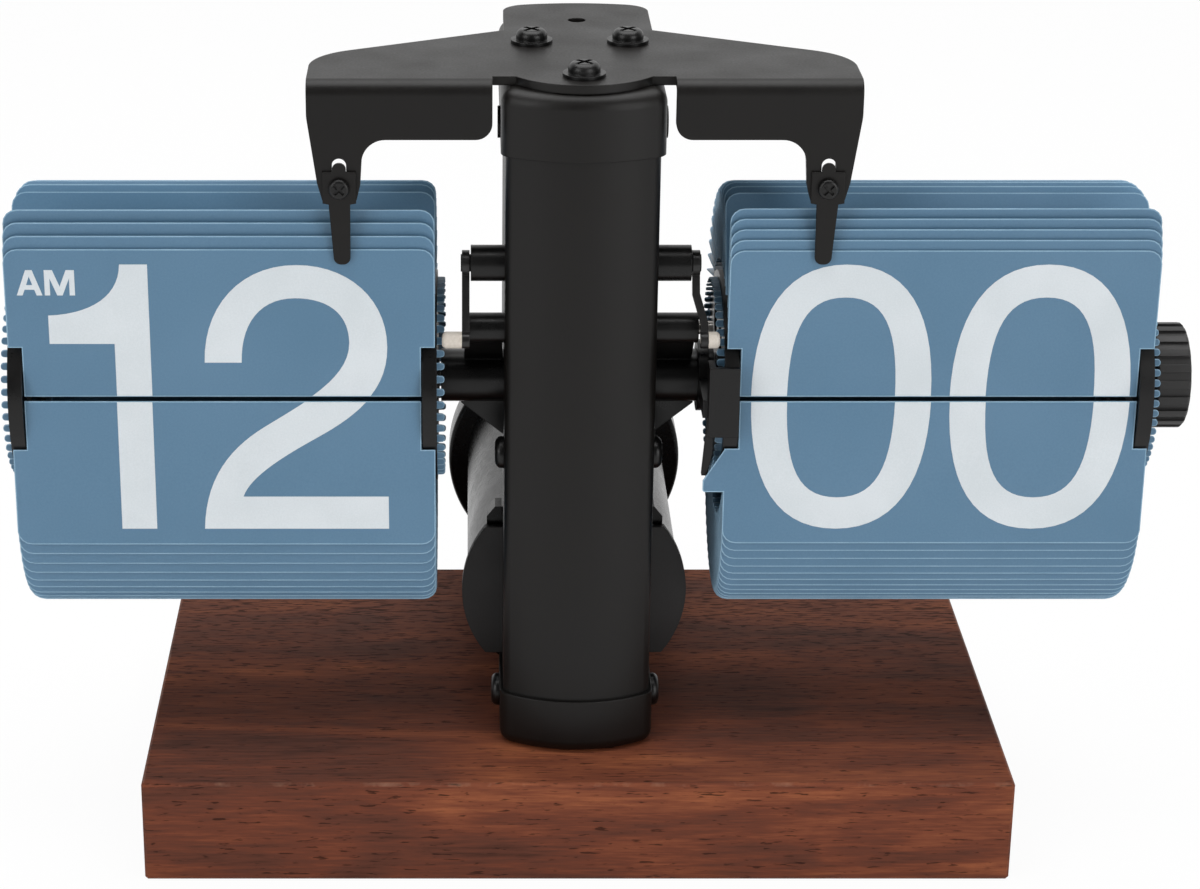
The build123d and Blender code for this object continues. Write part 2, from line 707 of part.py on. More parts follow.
# Case halves inside the tube, their bosses passing out through the tube's sides
stud_x = pillar_w / 2 + stud_boss_out
stud_r = 1.15
web_half = 1.5
eye_pin_r = 1.5
eye_pin_end = arm_x0 + arm_w + 0.2
case_screw_tip = wall_in - 1.8


def case_half(with_stud):
    half = block(*case_wall_x, *case_y, *case_z)
    half += rod_x(wall_in, main_boss_x, axis_y, axis_z, main_boss_r)
    half += rod_x(wall_in, pivot_boss_x, detent_y, detent_z, pivot_boss_r)
    half += rod_x(pivot_boss_x, eye_pin_end, detent_y, detent_z, eye_pin_r)
    half += rod_x(wall_in, stud_x, stud_y, stud_z, stud_boss_r)
    web_low = axis_z + shaft_r + 1.5
    web = [(stud_y - web_half, stud_z), (stud_y + web_half, stud_z)]
    web += [(axis_y + web_half, web_low), (axis_y - web_half, web_low)]
    half += side_plate(web, pillar_w / 2 + pass_gap, gusset_end - 0.6)
    low = axis_z - main_boss_r + 0.6
    gusset = front_plate(
        make_face(Polyline((wall_in, gusset_foot_z), (pillar_w / 2, gusset_foot_z), (gusset_end, low - 0.8),
                           (gusset_end, low), (wall_in, low), close=True)),
        axis_y - gusset_t / 2, axis_y + gusset_t / 2)
    half += gusset
    half += rod_x(case_screw_tip, wall_in, case_screw_y, case_screw_z, 2.2)
    half -= rod_x(case_screw_tip - 1, pillar_w, case_screw_y, case_screw_z, side_screw_r)
    half -= rod_x(0, pillar_w, axis_y, axis_z, shaft_r + run_gap)
    half -= rod_x(0, wall_in + 0.9, counter_y, counter_z, arbor_r + run_gap)
    if with_stud:
        half -= rod_x(stud_x - 6.0, pillar_w, stud_y, stud_z, stud_r)
    return half


save("case_right", case_half(True))
save("case_left", mirror(case_half(False), about=Plane.YZ))
case_seat = pillar_w / 2
save("case_screws", *both_sides(side_screw(case_seat, case_screw_tip, case_screw_y, case_screw_z, 2.8, 1.6)))
save("carry_stud", rod_x(stud_x - 6.0, lever_x1, stud_y, stud_z, stud_r))

# Detent arms: sprung strips on the upper bosses, each with a pale nylon roller that rests by the flap pins
tip_angle = 38.0
tip_r = 1.45
tip_peg_r = 0.6
strip_t = 0.9
tip_reach = hinge_r + pin_r + lever_gap + tip_r
tip_y = axis_y - tip_reach * math.cos(math.radians(tip_angle))
tip_zc = axis_z + tip_reach * math.sin(math.radians(tip_angle))
tip_x1 = inner_wheel_x - 0.9
strip_len = math.hypot(tip_y - detent_y, tip_zc - detent_z)
strip_normal = (0, detent_z - tip_zc, tip_y - detent_y)
strip_plane = Plane(origin=(0, detent_y, detent_z), x_dir=(1, 0, 0), z_dir=strip_normal)


def detent(jog):
    x1 = arm_x0 + arm_w
    bend = (0.4 * strip_len, 0.78 * strip_len)
    points = [(arm_x0, 0), (x1, 0), (x1, bend[0]), (x1 + jog, bend[1]), (x1 + jog, strip_len)]
    points += [(arm_x0 + jog, strip_len), (arm_x0 + jog, bend[1] + 0.2), (arm_x0, bend[0] + 0.2)]
    arm = extrude(strip_plane * make_face(Polyline(*points, close=True)), amount=strip_t / 2, both=True)
    arm += rod_x(arm_x0, x1, detent_y, detent_z, 2.2)
    arm += rod_x(arm_x0 + jog, x1 + jog, tip_y, tip_zc, tip_r)
    arm -= rod_x(arm_x0 - 1, x1 + 1, detent_y, detent_z, eye_pin_r + run_gap)
    arm -= rod_x(arm_x0 + jog - 1, x1 + jog + 1, tip_y, tip_zc, tip_peg_r)
    tip = rod_x(x1 + jog, tip_x1, tip_y, tip_zc, tip_r)
    tip = fillet(tip.edges().filter_by(GeomType.CIRCLE).sort_by(Axis.X)[-1], 0.8)
    return arm, tip + rod_x(arm_x0 + jog, x1 + jog, tip_y, tip_zc, tip_peg_r)


minute_jog = 1.4
arm, tip = detent(minute_jog)
save("minute_detent_arm", arm)
save("minute_detent_tip", tip)
arm, tip = detent(0.0)
save("hour_detent_arm", mirror(arm, about=Plane.YZ))
save("hour_detent_tip", mirror(tip, about=Plane.YZ))

# Carry lever: rocker on the right main boss, with a tail behind the flap's tab and a plate before the wheel
lever_eye_r = main_boss_r + run_gap + 1.6
lever_front = axis_y - hinge_r
lever_back = lever_front + 1.4
lever_plate_t = 1.0
lever_plate_back = axis_y - wheel_r - lever_gap
lever_plate_front = lever_plate_back - lever_plate_t
split_z = axis_z + hinge_r * math.sin(math.radians(split_angle))
lever_plate_z = (split_z - 6.0, split_z + 6.5)
lever_plate_x1 = flap_inner_x + notch_depth - 0.3
lever_web_x0 = lever_x0 + 0.8
tail_top = lever_plate_z[0] + 1.0
tail_end = lever_plate_z[0] - 8.2
tail_points = [
    (lever_web_x0, tail_top), (lever_x1, tail_top), (lever_x1, tail_top - 5.0),
    (lever_web_x0 + 0.3, tail_end), (lever_web_x0 - 0.7, tail_end),
]
lever = rod_x(lever_x0, lever_x1, axis_y, axis_z, lever_eye_r)
lever += block(lever_x0, lever_x1, lever_front, axis_y - 4.0, axis_z - 1.6, axis_z + 1.6)
lever += block(lever_web_x0, lever_x1, lever_plate_back, lever_back, *lever_plate_z)
lever += front_plate(make_face(Polyline(*tail_points, close=True)), lever_front, lever_back)
lever -= rod_x(lever_x0 - 1, lever_x1 + 1, axis_y, axis_z, main_boss_r + run_gap)
save("carry_lever", lever)
carry_plate = block(lever_web_x0, lever_plate_x1, lever_plate_front, lever_plate_back, *lever_plate_z)
save("carry_plate", carry_plate)

# Battery drum: flange against the column, housing, cell, contacts and pull-off rear cover
bore_r = drum_r - drum_wall
flange = rod_y(drum_front, cavity_front, 0, drum_z, drum_r + flange_lip)
flange &= block(-pillar_w, pillar_w, drum_front - 1, cavity_front + 1,
                drum_z - flange_flat, drum_z + flange_flat)
lead_x = 5.0
lead_r = 0.6
lead_z = drum_z + 8.0
for x in (-lead_x, lead_x):
    flange -= rod_y(drum_front - 1, cavity_front + 1, x, lead_z, lead_r)
save("drum_flange", flange)

housing_end = cover_inside - 0.4
housing = rod_y(cavity_front, housing_end, 0, drum_z, drum_r)
lug_z = drum_z + flange_flat
lug_x = (pillar_w / 2 + 0.2, pillar_w / 2 + 2.9)
for sign in (-1, 1):
    lug = [(lug_x[0], lug_z - 2.0), (lug_x[1], lug_z - 2.0), (lug_x[1], lug_z + 1.5),
           (lug_x[1] - 1.5, lug_z + 3.4), (lug_x[0], lug_z + 3.4)]
    lug_face = make_face(Polyline(*[(sign * x, z) for x, z in lug], close=True))
    housing += front_plate(lug_face, cavity_front, cavity_front + 4.0)
housing -= rod_y(cavity_front - 1, housing_end + 1, 0, drum_z, bore_r)
housing += rod_y(cavity_front, cavity_front + 1.0, 0, drum_z, bore_r) - rod_y(
    cavity_front - 1, cavity_front + 2, 0, drum_z, bore_r - 3.0)
save("battery_housing", housing)

spring = rod_y(cavity_front, cavity_front + contact_t, 0, drum_z, bore_r - 3.2)
for x in (-lead_x, lead_x):
    spring -= rod_y(cavity_front - 1, cavity_front + 1, x, lead_z, lead_r)
leaf_foot = drum_z - 9.0
leaf_bend = drum_z - 2.5
leaf_end = drum_z + 2.5
leaf_points = (
    (cavity_front, leaf_foot), (cell_start - contact_t, leaf_bend + 0.3), (cell_start - contact_t, leaf_end),
    (cell_start, leaf_end), (cell_start, leaf_bend), (cavity_front + contact_t, leaf_foot - 0.6),
    (cavity_front, leaf_foot - 0.6),
)
spring += side_plate(leaf_points, -4.0, 4.0)
save("battery_spring", spring)
cell = rod_y(cell_start, cell_end - cell_nub, 0, drum_z, cell_r)
cell = fillet(cell.edges().filter_by(GeomType.CIRCLE), 1.0)
save("battery_cell", cell + rod_y(cell_end - cell_nub, cell_end, 0, drum_z, 4.75))
save("battery_contact", rod_y(cell_end, cover_inside, 0, drum_z, 8.0))

cover_r = drum_r + run_gap + cover_side
cover = rod_y(cover_front, cover_end, 0, drum_z, cover_r)
cover = fillet([cover.edges().filter_by(GeomType.CIRCLE).sort_by(Axis.Y)[-1]], 2.5)
cover = fillet([cover.edges().filter_by(GeomType.CIRCLE).sort_by(Axis.Y)[0]], 0.8)
cover -= rod_y(cover_front - 1, cover_inside, 0, drum_z, drum_r + run_gap)
cover -= block(-1.5, 1.5, cover_end - 1.6, cover_end + 1, drum_z - 9.0, drum_z + 9.0)
save("battery_cover", cover)


# Two leads from the battery contacts up to the motor
def lead(sign):
    x = sign * lead_x
    top = motor_z - motor_r + 2.0
    end_y = motor_y
    y = drum_front - 3.0
    xe = sign * (motor_x[1] - 1.6)
    wire = rod_y(y, cavity_front, x, lead_z, lead_r) + Pos(x, y, lead_z) * Sphere(lead_r)
    wire += rod_z(lead_z, top - 4.0, x, y, lead_r) + Pos(x, y, top - 4.0) * Sphere(lead_r)
    line = Line((x, y, top - 4.0), (xe, end_y, motor_z - motor_r - 0.5))
    run = Plane(origin=line @ 0, z_dir=line % 0)
    return wire + extrude(run * Circle(lead_r), amount=line.length)


save("motor_leads", lead(-1), lead(1))
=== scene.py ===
import bpy
import bmesh
import math
from mathutils import Matrix, Vector


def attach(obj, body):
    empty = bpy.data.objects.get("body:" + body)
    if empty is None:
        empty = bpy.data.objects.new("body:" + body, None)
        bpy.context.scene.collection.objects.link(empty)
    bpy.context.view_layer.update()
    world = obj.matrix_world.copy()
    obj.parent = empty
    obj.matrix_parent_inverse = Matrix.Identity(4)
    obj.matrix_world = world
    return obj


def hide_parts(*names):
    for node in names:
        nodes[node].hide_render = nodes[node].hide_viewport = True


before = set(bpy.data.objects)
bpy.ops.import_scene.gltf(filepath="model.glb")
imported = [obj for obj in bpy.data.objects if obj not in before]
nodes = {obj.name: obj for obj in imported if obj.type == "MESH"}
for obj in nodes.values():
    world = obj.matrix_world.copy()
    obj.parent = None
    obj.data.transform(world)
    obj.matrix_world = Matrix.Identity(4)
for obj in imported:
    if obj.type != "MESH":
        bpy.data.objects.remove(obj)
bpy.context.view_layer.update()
mm = 0.001
print("frame loaded:", len(nodes), "nodes")


def linearColour(text):  # sRGB hex to linear RGBA
    parts = [int(text[i:i + 2], 16) / 255 for i in (1, 3, 5)]
    return tuple(c / 12.92 if c <= 0.04045 else ((c + 0.055) / 1.055) ** 2.4 for c in parts) + (1.0,)


def addNode(tree, kind, inputs=None, stops=None, **settings):
    node = tree.nodes.new("ShaderNode" + kind)
    for name, value in settings.items():
        setattr(node, name, value)
    for name, value in (inputs or {}).items():
        if isinstance(value, bpy.types.NodeSocket):
            tree.links.new(value, node.inputs[name])
        else:
            node.inputs[name].default_value = value
    if stops:  # colour ramp: places and hex colours
        ramp = node.color_ramp
        while len(ramp.elements) < len(stops):
            ramp.elements.new(0.5)
        for element, (place, colour) in zip(ramp.elements, stops):
            element.position = place
            element.color = linearColour(colour)
    return node


def startMaterial(name):
    material = bpy.data.materials.new(name)
    material.use_nodes = True
    tree = material.node_tree
    tree.nodes.clear()
    return material, tree, addNode(tree, "TexCoord").outputs["Object"]


def perMm(size):  # texture scale for a feature of this many millimetres
    return 1000.0 / size


# walnut, planed and oiled: soft dark bands, fine streaks and short open pores along the grain,
# more porous at the back of the board and mixed towards grey there as a painted reflection of the backdrop, a
# broken pale line along the top edges
walnutBoard = {
    "deep": "#422820", "dark": "#5c372b", "mid": "#6b3c2c", "light": "#7e4832", "flame": "#96593b",
    "sheenGrey": "#523a32", "pore": "#22140f", "paleEdge": "#a98974", "roughness": 0.56, "shine": 0.07,
    "cutMm": (21.0, 22.0, 7.0), "cutTurn": (0.35, 0.06, 0.05),  # where the board lay in the log
    "bandMm": 9.0, "bandLong": 0.13, "bandShare": 0.38,  # long shares stretch a pattern along the grain
    "figureMm": 15.0, "figureLong": 0.34, "figureShare": 0.32,
    "streakMm": 0.60, "streakLong": 0.06, "streakTurn": (0.0, 0.02, 0.03), "streakShare": 0.36,
    "toneSpan": (0.38, 0.68),
    "poreMm": 0.50, "poreLong": 0.15, "poreTurn": (0.0, 0.03, 0.05), "poreDirt": 0.74, "poreEdge": 0.07,
    "poreDepthMm": 0.06, "poreBump": 0.35, "poreRough": 0.25, "roughDrop": 0.1,
    "poreLimit": (0.625, 0.515), "poreFromMm": (-20.0, 30.0),  # from the front of the board to its back
    # painted reflection: where the grey sheen starts and ends, from the front of the board to its back, and
    # how strong it gets
    "sheenMm": (-12.0, 34.0), "sheenShare": 0.45,
    "halfMm": (76.5, 46.0), "topMm": 19.2, "paleEdgeMm": (-0.58, -0.44),
    "breakMm": 9.0, "breakSpan": (0.5, 0.7), "breakShare": 0.5,
}


def makeWalnut(p):
    material, tree, place = startMaterial("walnutPlanedOiled")
    axes = addNode(tree, "SeparateXYZ", {"Vector": place})
    shift = tuple(size * mm for size in p["cutMm"])
    board = addNode(tree, "Mapping", {
        "Vector": place, "Location": shift, "Rotation": p["cutTurn"]}).outputs[0]
    long = addNode(tree, "Mapping", {"Vector": board, "Scale": (p["bandLong"], 1.0, 1.0)})
    bands = addNode(tree, "TexNoise", {
        "Vector": long.outputs[0], "Scale": perMm(p["bandMm"]), "Detail": 2.0, "Roughness": 0.5,
        "Distortion": 0.7})
    wide = addNode(tree, "Mapping", {"Vector": board, "Scale": (p["figureLong"], 1.0, 1.0)})
    figure = addNode(tree, "TexNoise", {
        "Vector": wide.outputs[0], "Scale": perMm(p["figureMm"]), "Detail": 3.0, "Roughness": 0.55,
        "Distortion": 0.9})
    thin = addNode(tree, "Mapping", {
        "Vector": place, "Rotation": p["streakTurn"], "Scale": (p["streakLong"], 1.0, 1.0)})
    streaks = addNode(tree, "TexNoise", {
        "Vector": thin.outputs[0], "Scale": perMm(p["streakMm"]), "Detail": 5.0, "Roughness": 0.68})
    tone = addNode(tree, "Math", {0: bands.outputs["Fac"], 1: p["bandShare"]}, operation="MULTIPLY")
    for pattern, share in ((figure, p["figureShare"]), (streaks, p["streakShare"])):
        tone = addNode(tree, "Math", {0: pattern.outputs["Fac"], 1: share, 2: tone.outputs[0]},
                       operation="MULTIPLY_ADD")
    tone = addNode(tree, "MapRange", {
        "Value": tone.outputs[0], "From Min": p["toneSpan"][0], "From Max": p["toneSpan"][1]})
    wood = addNode(tree, "ValToRGB", {"Fac": tone.outputs[0]}, stops=[
        (0.0, p["deep"]), (0.3, p["dark"]), (0.52, p["mid"]), (0.76, p["light"]), (1.0, p["flame"])])
    # painted reflection: the top is mixed towards grey from the front of the board to its back, in place of
    # the backdrop's sheen at grazing angles
    rear = addNode(tree, "MapRange", {
        "Value": axes.outputs["Y"], "From Min": p["sheenMm"][0] * mm, "From Max": p["sheenMm"][1] * mm,
        "To Min": 0.0, "To Max": p["sheenShare"]}, interpolation_type="SMOOTHSTEP")
    withSheen = addNode(tree, "Mix", {0: rear.outputs[0], 6: wood.outputs["Color"], 7: linearColour(p["sheenGrey"])},
                    data_type="RGBA")
    fine = addNode(tree, "Mapping", {
        "Vector": place, "Rotation": p["poreTurn"], "Scale": (p["poreLong"], 1.0, 1.0)})
    pores = addNode(tree, "TexNoise", {
        "Vector": fine.outputs[0], "Scale": perMm(p["poreMm"]), "Detail": 2.0, "Roughness": 0.5,
        "Distortion": 0.3})
    limit = addNode(tree, "MapRange", {
        "Value": axes.outputs["Y"], "From Min": p["poreFromMm"][0] * mm, "From Max": p["poreFromMm"][1] * mm,
        "To Min": p["poreLimit"][0], "To Max": p["poreLimit"][1]})
    above = addNode(tree, "Math", {0: pores.outputs["Fac"], 1: limit.outputs[0]}, operation="SUBTRACT")
    poreCut = addNode(tree, "MapRange", {
        "Value": above.outputs[0], "From Min": 0.0, "From Max": p["poreEdge"]})
    dirt = addNode(tree, "Math", {0: poreCut.outputs[0], 1: p["poreDirt"]}, operation="MULTIPLY")
    porous = addNode(tree, "Mix", {0: dirt.outputs[0], 6: withSheen.outputs[2], 7: linearColour(p["pore"])},
                     data_type="RGBA")
    # a pale line along the top edges of the board, broken up by noise
    sides = []
    for axis, half in zip("XY", p["halfMm"]):  # how far a point lies outside the board's side faces
        out = addNode(tree, "Math", {0: axes.outputs[axis]}, operation="ABSOLUTE")
        out = addNode(tree, "Math", {0: out.outputs[0], 1: half * mm}, operation="SUBTRACT")
        sides.append(out.outputs[0])
    side = addNode(tree, "Math", {0: sides[0], 1: sides[1]}, operation="MAXIMUM")
    rise = addNode(tree, "Math", {0: axes.outputs["Z"], 1: p["topMm"] * mm}, operation="SUBTRACT")
    edge = addNode(tree, "Math", {0: side.outputs[0], 1: rise.outputs[0]}, operation="ADD")
    edge = addNode(tree, "MapRange", {
        "Value": edge.outputs[0], "From Min": p["paleEdgeMm"][0] * mm, "From Max": p["paleEdgeMm"][1] * mm})
    breakUp = addNode(tree, "TexNoise", {
        "Vector": place, "Scale": perMm(p["breakMm"]), "Detail": 4.0, "Roughness": 0.75})
    breakUp = addNode(tree, "MapRange", {
        "Value": breakUp.outputs["Fac"], "From Min": p["breakSpan"][0], "From Max": p["breakSpan"][1],
        "To Max": p["breakShare"]})
    paleEdge = addNode(tree, "Math", {0: edge.outputs[0], 1: breakUp.outputs[0]}, operation="MULTIPLY")
    colour = addNode(tree, "Mix", {0: paleEdge.outputs[0], 6: porous.outputs[2], 7: linearColour(p["paleEdge"])},
                     data_type="RGBA")
    rough = addNode(tree, "Math", {
        0: pores.outputs["Fac"], 1: p["poreRough"], 2: p["roughness"] - p["roughDrop"]},
        operation="MULTIPLY_ADD")
    bump = addNode(tree, "Bump", {
        "Height": poreCut.outputs[0], "Strength": p["poreBump"], "Distance": p["poreDepthMm"] * mm},
        invert=True)
    skin = addNode(tree, "BsdfPrincipled", {
        "Base Color": colour.outputs[2], "Roughness": rough.outputs[0], "IOR": 1.48,
        "Specular IOR Level": p["shine"], "Normal": bump.outputs[0]})
    addNode(tree, "OutputMaterial", {"Surface": skin.outputs[0]})
    return material


# two close tones, a fine grain that roughens them, a shallow bump of the same grain and softened edges;
# the finest real grains are drawn at 0.2 to 0.5 mm so that they show
grainPlan = {"toneSpan": (0.75, 1.25), "roughSpan": (0.7, 1.3), "roughPlay": 0.06, "depthMm": 0.03}


def makeGrained(name, p):
    g = grainPlan
    material, tree, place = startMaterial(name)
    grain = addNode(tree, "TexNoise", {
        "Vector": place, "Scale": perMm(p["grainMm"]), "Detail": 3.0, "Roughness": 0.6})
    cloud = addNode(tree, "TexNoise", {"Vector": place, "Scale": perMm(p["cloudMm"]), "Detail": 2.0})
    both = addNode(tree, "Math", {0: grain.outputs["Fac"], 1: cloud.outputs["Fac"]}, operation="ADD")
    tone = addNode(tree, "MapRange", {
        "Value": both.outputs[0], "From Min": g["toneSpan"][0], "From Max": g["toneSpan"][1]})
    colour = addNode(tree, "Mix", {
        0: tone.outputs[0], 6: linearColour(p["dark"]), 7: linearColour(p["light"])}, data_type="RGBA")
    rough = addNode(tree, "MapRange", {
        "Value": both.outputs[0], "From Min": g["roughSpan"][0], "From Max": g["roughSpan"][1],
        "To Min": p["roughness"] - g["roughPlay"], "To Max": p["roughness"] + g["roughPlay"]})
    bump = addNode(tree, "Bump", {
        "Height": grain.outputs["Fac"], "Strength": p["bump"], "Distance": g["depthMm"] * mm})
    if "edgeMm" in p:  # the broken edge of a pressed or moulded piece
        soft = addNode(tree, "Bevel", {"Radius": p["edgeMm"] * mm}, samples=4)
        tree.links.new(soft.outputs[0], bump.inputs["Normal"])
    skin = addNode(tree, "BsdfPrincipled", {
        "Base Color": colour.outputs[2], "Roughness": rough.outputs[0], "Metallic": p.get("metallic", 0.0),
        "Specular IOR Level": p.get("shine", 0.5), "Normal": bump.outputs[0]})
    addNode(tree, "OutputMaterial", {"Surface": skin.outputs[0]})
    return material


# steel sheet, satin powder coat: even black with a faint orange peel
paintSatin = {"dark": "#0d0b0a", "light": "#110f0d", "grainMm": 0.45, "cloudMm": 9.0,
              "roughness": 0.42, "bump": 0.08, "shine": 0.28, "edgeMm": 0.35}
# steel screws, black oxide and oil: glossier and darker than the paint
screwOxide = {"dark": "#0a0a0a", "light": "#121111", "grainMm": 0.3, "cloudMm": 2.0,
              "roughness": 0.34, "bump": 0.05, "shine": 0.36, "edgeMm": 0.2}
# ABS, moulded with a fine eroded texture: soft lights on black
absMoulded = {"dark": "#0a0a0a", "light": "#0f0e0e", "grainMm": 0.30, "cloudMm": 4.0,
              "roughness": 0.33, "bump": 0.08, "shine": 0.32, "edgeMm": 0.25}
# ABS, moulded with a coarser spark-eroded grain: dull, and a shade lighter as painted light for the light
# that the disc and the knob catch
absGrainedLit = {"dark": "#201f1f", "light": "#282727", "grainMm": 0.40, "cloudMm": 5.0,
              "roughness": 0.50, "bump": 0.12, "shine": 0.42, "edgeMm": 0.25}
# ABS, polished mould: deep black with soft mirror lights
absPolished = {"dark": "#060606", "light": "#0a0a0a", "grainMm": 1.2, "cloudMm": 12.0,
               "roughness": 0.28, "bump": 0.01, "shine": 0.18}
# PVC sheet, calendered to a low gloss on both faces: an even blue
flapSheet = {"dark": "#547893", "light": "#5b7e99", "grainMm": 0.35, "cloudMm": 22.0,
             "roughness": 0.40, "bump": 0.05, "shine": 0.40}
# the same sheet where the die cut it, and a thin rim of its faces: a paler blue, a painted highlight along
# the flap edges
flapCutHighlight = {"dark": "#7c9eb6", "light": "#90b0c6", "grainMm": 0.25, "cloudMm": 6.0,
           "roughness": 0.55, "bump": 0.05, "shine": 0.3}
# screen ink, white: flat film with a slightly open surface
inkScreen = {"dark": "#cfd6da", "light": "#d8dee2", "grainMm": 0.30, "cloudMm": 12.0,
             "roughness": 0.62, "bump": 0.08, "shine": 0.2}
# nylon, natural: waxy, a little uneven
nylonNatural = {"dark": "#c6bdb1", "light": "#d5cdc3", "grainMm": 0.5, "cloudMm": 3.0,
                "roughness": 0.45, "bump": 0.06, "shine": 0.45}
# spring strip, blued and oiled: dark with a low sheen
springBlued = {"dark": "#121111", "light": "#1a1919", "grainMm": 0.35, "cloudMm": 3.0,
               "roughness": 0.34, "bump": 0.05, "shine": 0.5, "edgeMm": 0.15}
# PVC lead cover, extruded red: smooth, a little dull
leadCover = {"dark": "#7d1a18", "light": "#93231f", "grainMm": 0.4, "cloudMm": 4.0,
             "roughness": 0.42, "bump": 0.04}
# brass, rolled and turned: warm metal with faint mottling
brassRolled = {"dark": "#a98443", "light": "#bd9a58", "grainMm": 0.3, "cloudMm": 5.0,
               "roughness": 0.30, "bump": 0.04, "metallic": 1.0}
# steel, drawn and polished: fine lines round the bar, drawn coarser than the real ones so that they show
steelDrawn = {"dark": "#85827e", "light": "#a9a6a2", "lineMm": 0.25, "lineLong": 0.05,
              "roughness": 0.28, "roughDown": 0.06, "roughUp": 0.08}


def makeDrawnSteel(name, p):
    material, tree, place = startMaterial(name)
    along = addNode(tree, "Mapping", {"Vector": place, "Scale": (1.0, p["lineLong"], p["lineLong"])})
    lines = addNode(tree, "TexNoise", {
        "Vector": along.outputs[0], "Scale": perMm(p["lineMm"]), "Detail": 3.0}).outputs["Fac"]
    colour = addNode(tree, "Mix", {0: lines, 6: linearColour(p["dark"]), 7: linearColour(p["light"])},
                     data_type="RGBA")
    rough = addNode(tree, "MapRange", {
        "Value": lines, "To Min": p["roughness"] - p["roughDown"], "To Max": p["roughness"] + p["roughUp"]})
    skin = addNode(tree, "BsdfPrincipled", {
        "Base Color": colour.outputs[2], "Roughness": rough.outputs[0], "Metallic": 1.0})
    addNode(tree, "OutputMaterial", {"Surface": skin.outputs[0]})
    return material


walnut = makeWalnut(walnutBoard)
blackPaint = makeGrained("steelPowderCoatSatinBlack", paintSatin)
blackScrew = makeGrained("steelScrewBlackOxide", screwOxide)
blackCase = makeGrained("absMouldedBlack", absMoulded)
blackGrainedLit = makeGrained("absErodedBlackLit", absGrainedLit)
blackGloss = makeGrained("absPolishedBlack", absPolished)
flapBlue = makeGrained("pvcSheetMattBlue", flapSheet)
flapEdgeHighlight = makeGrained("pvcSheetCutEdgeHighlight", flapCutHighlight)
printInk = makeGrained("screenInkWhite", inkScreen)
nylon = makeGrained("nylonMouldedNatural", nylonNatural)
springStrip = makeGrained("springStripBlued", springBlued)
leadRed = makeGrained("pvcLeadExtrudedRed", leadCover)
brass = makeGrained("brassRolledTurned", brassRolled)
steel = makeDrawnSteel("steelDrawnPolished", steelDrawn)

finishOf = {
    walnut: ["wood_base"],
    blackPaint: ["pillar_tube", "top_cap", "top_bracket", "foot_cup", "cap_rivets", "finger_left",
                 "finger_right"],
    blackScrew: ["bracket_screws", "foot_screws", "case_screws", "finger_screw_left", "finger_screw_right"],
    blackCase: ["case_left", "case_right", "carry_lever", "carry_plate", "foot_block", "hour_inner_wheel",
                "hour_outer_wheel", "minute_inner_wheel", "minute_outer_wheel"],
    # the drum flange and the knob take the lighter black, painted light
    blackGrainedLit: ["drum_flange", "setting_knob"],
    blackGloss: ["battery_housing", "battery_cover"],
    flapBlue: ["hour_flaps_standing", "hour_flaps_fan", "hour_flaps_hanging", "hour_flap_fallen",
               "minute_flaps_standing", "minute_flaps_fan", "minute_flaps_hanging", "minute_flap_fallen",
               "hour_flap_pins", "minute_flap_pins"],
    steel: ["hour_shaft", "minute_shaft", "hour_shaft_clip", "carry_stud", "counter_arbor", "base_bolts",
            "battery_spring", "battery_contact", "motor", "battery_cell"],
    nylon: ["hour_detent_tip", "minute_detent_tip", "minute_gear", "hour_gear", "counter_gear",
            "counter_pinion"],
    springStrip: ["hour_detent_arm", "minute_detent_arm"],
    brass: ["movement_plate", "centre_bush", "plate_standoffs", "motor_pinion"],
    leadRed: ["motor_leads"],
}
for material, names in finishOf.items():
    for name in names:
        mesh = nodes[name].data
        mesh.materials.clear()
        mesh.materials.append(material)
print("finishes on", sum(len(names) for names in finishOf.values()), "nodes")


def finishPiece(name, shape, materials, body, standsFor=()):
    mesh = bpy.data.meshes.new(name)
    shape.to_mesh(mesh)
    shape.free()
    for material in materials:
        mesh.materials.append(material)
    piece = bpy.data.objects.new(name, mesh)
    bpy.context.scene.collection.objects.link(piece)
    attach(piece, body)
    if standsFor:
        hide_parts(*standsFor)


# Flap: die-cut sheet, notched for the wheel rims; its hinge line is local X through the origin
drumPlan = {
    "axisY": -14.0, "axisZ": 83.6, "hingeR": 17.0, "splitAngle": 6.5, "splitGap": 0.7,
    "innerX": 24.9, "outerX": 97.6, "flapH": 25.7, "flapT": 0.18, "corner": 2.4, "highlightRim": 0.18,
    "notchDepth": 2.4, "notchHalf": 8.127, "fallenPlay": 0.34, "secondPlay": 0.12, "fallenTilt": 1.2,
    "tabX": 21.3, "tabEnd": 8.0, "tabNose": 0.3, "tabTip": 2.1, "tabRoot": 0.2,
    "leans": ((40.0, 24.0), (57.0, 42.0), (180.0, 168.0), (270.0, 175.0), (330.0, 177.5), (360.0, 180.0)),
}
# Ears at the hinge line of every flap, through the wheels and a little way out of both
earPlan = {"innerX": 24.6, "outerX": 97.9, "sunk": 0.6, "out": 1.3, "root": 0.70, "tip": 0.58,
           "thick": 0.34, "round": 0.48, "highlightRim": 0.12}


def flapTail(pitch):
    return (2 * drumPlan["hingeR"] * math.sin(math.radians(pitch / 2)) - drumPlan["splitGap"]) / 2


def grownVerts(geom):
    return [item for item in geom if isinstance(item, bmesh.types.BMVert)]


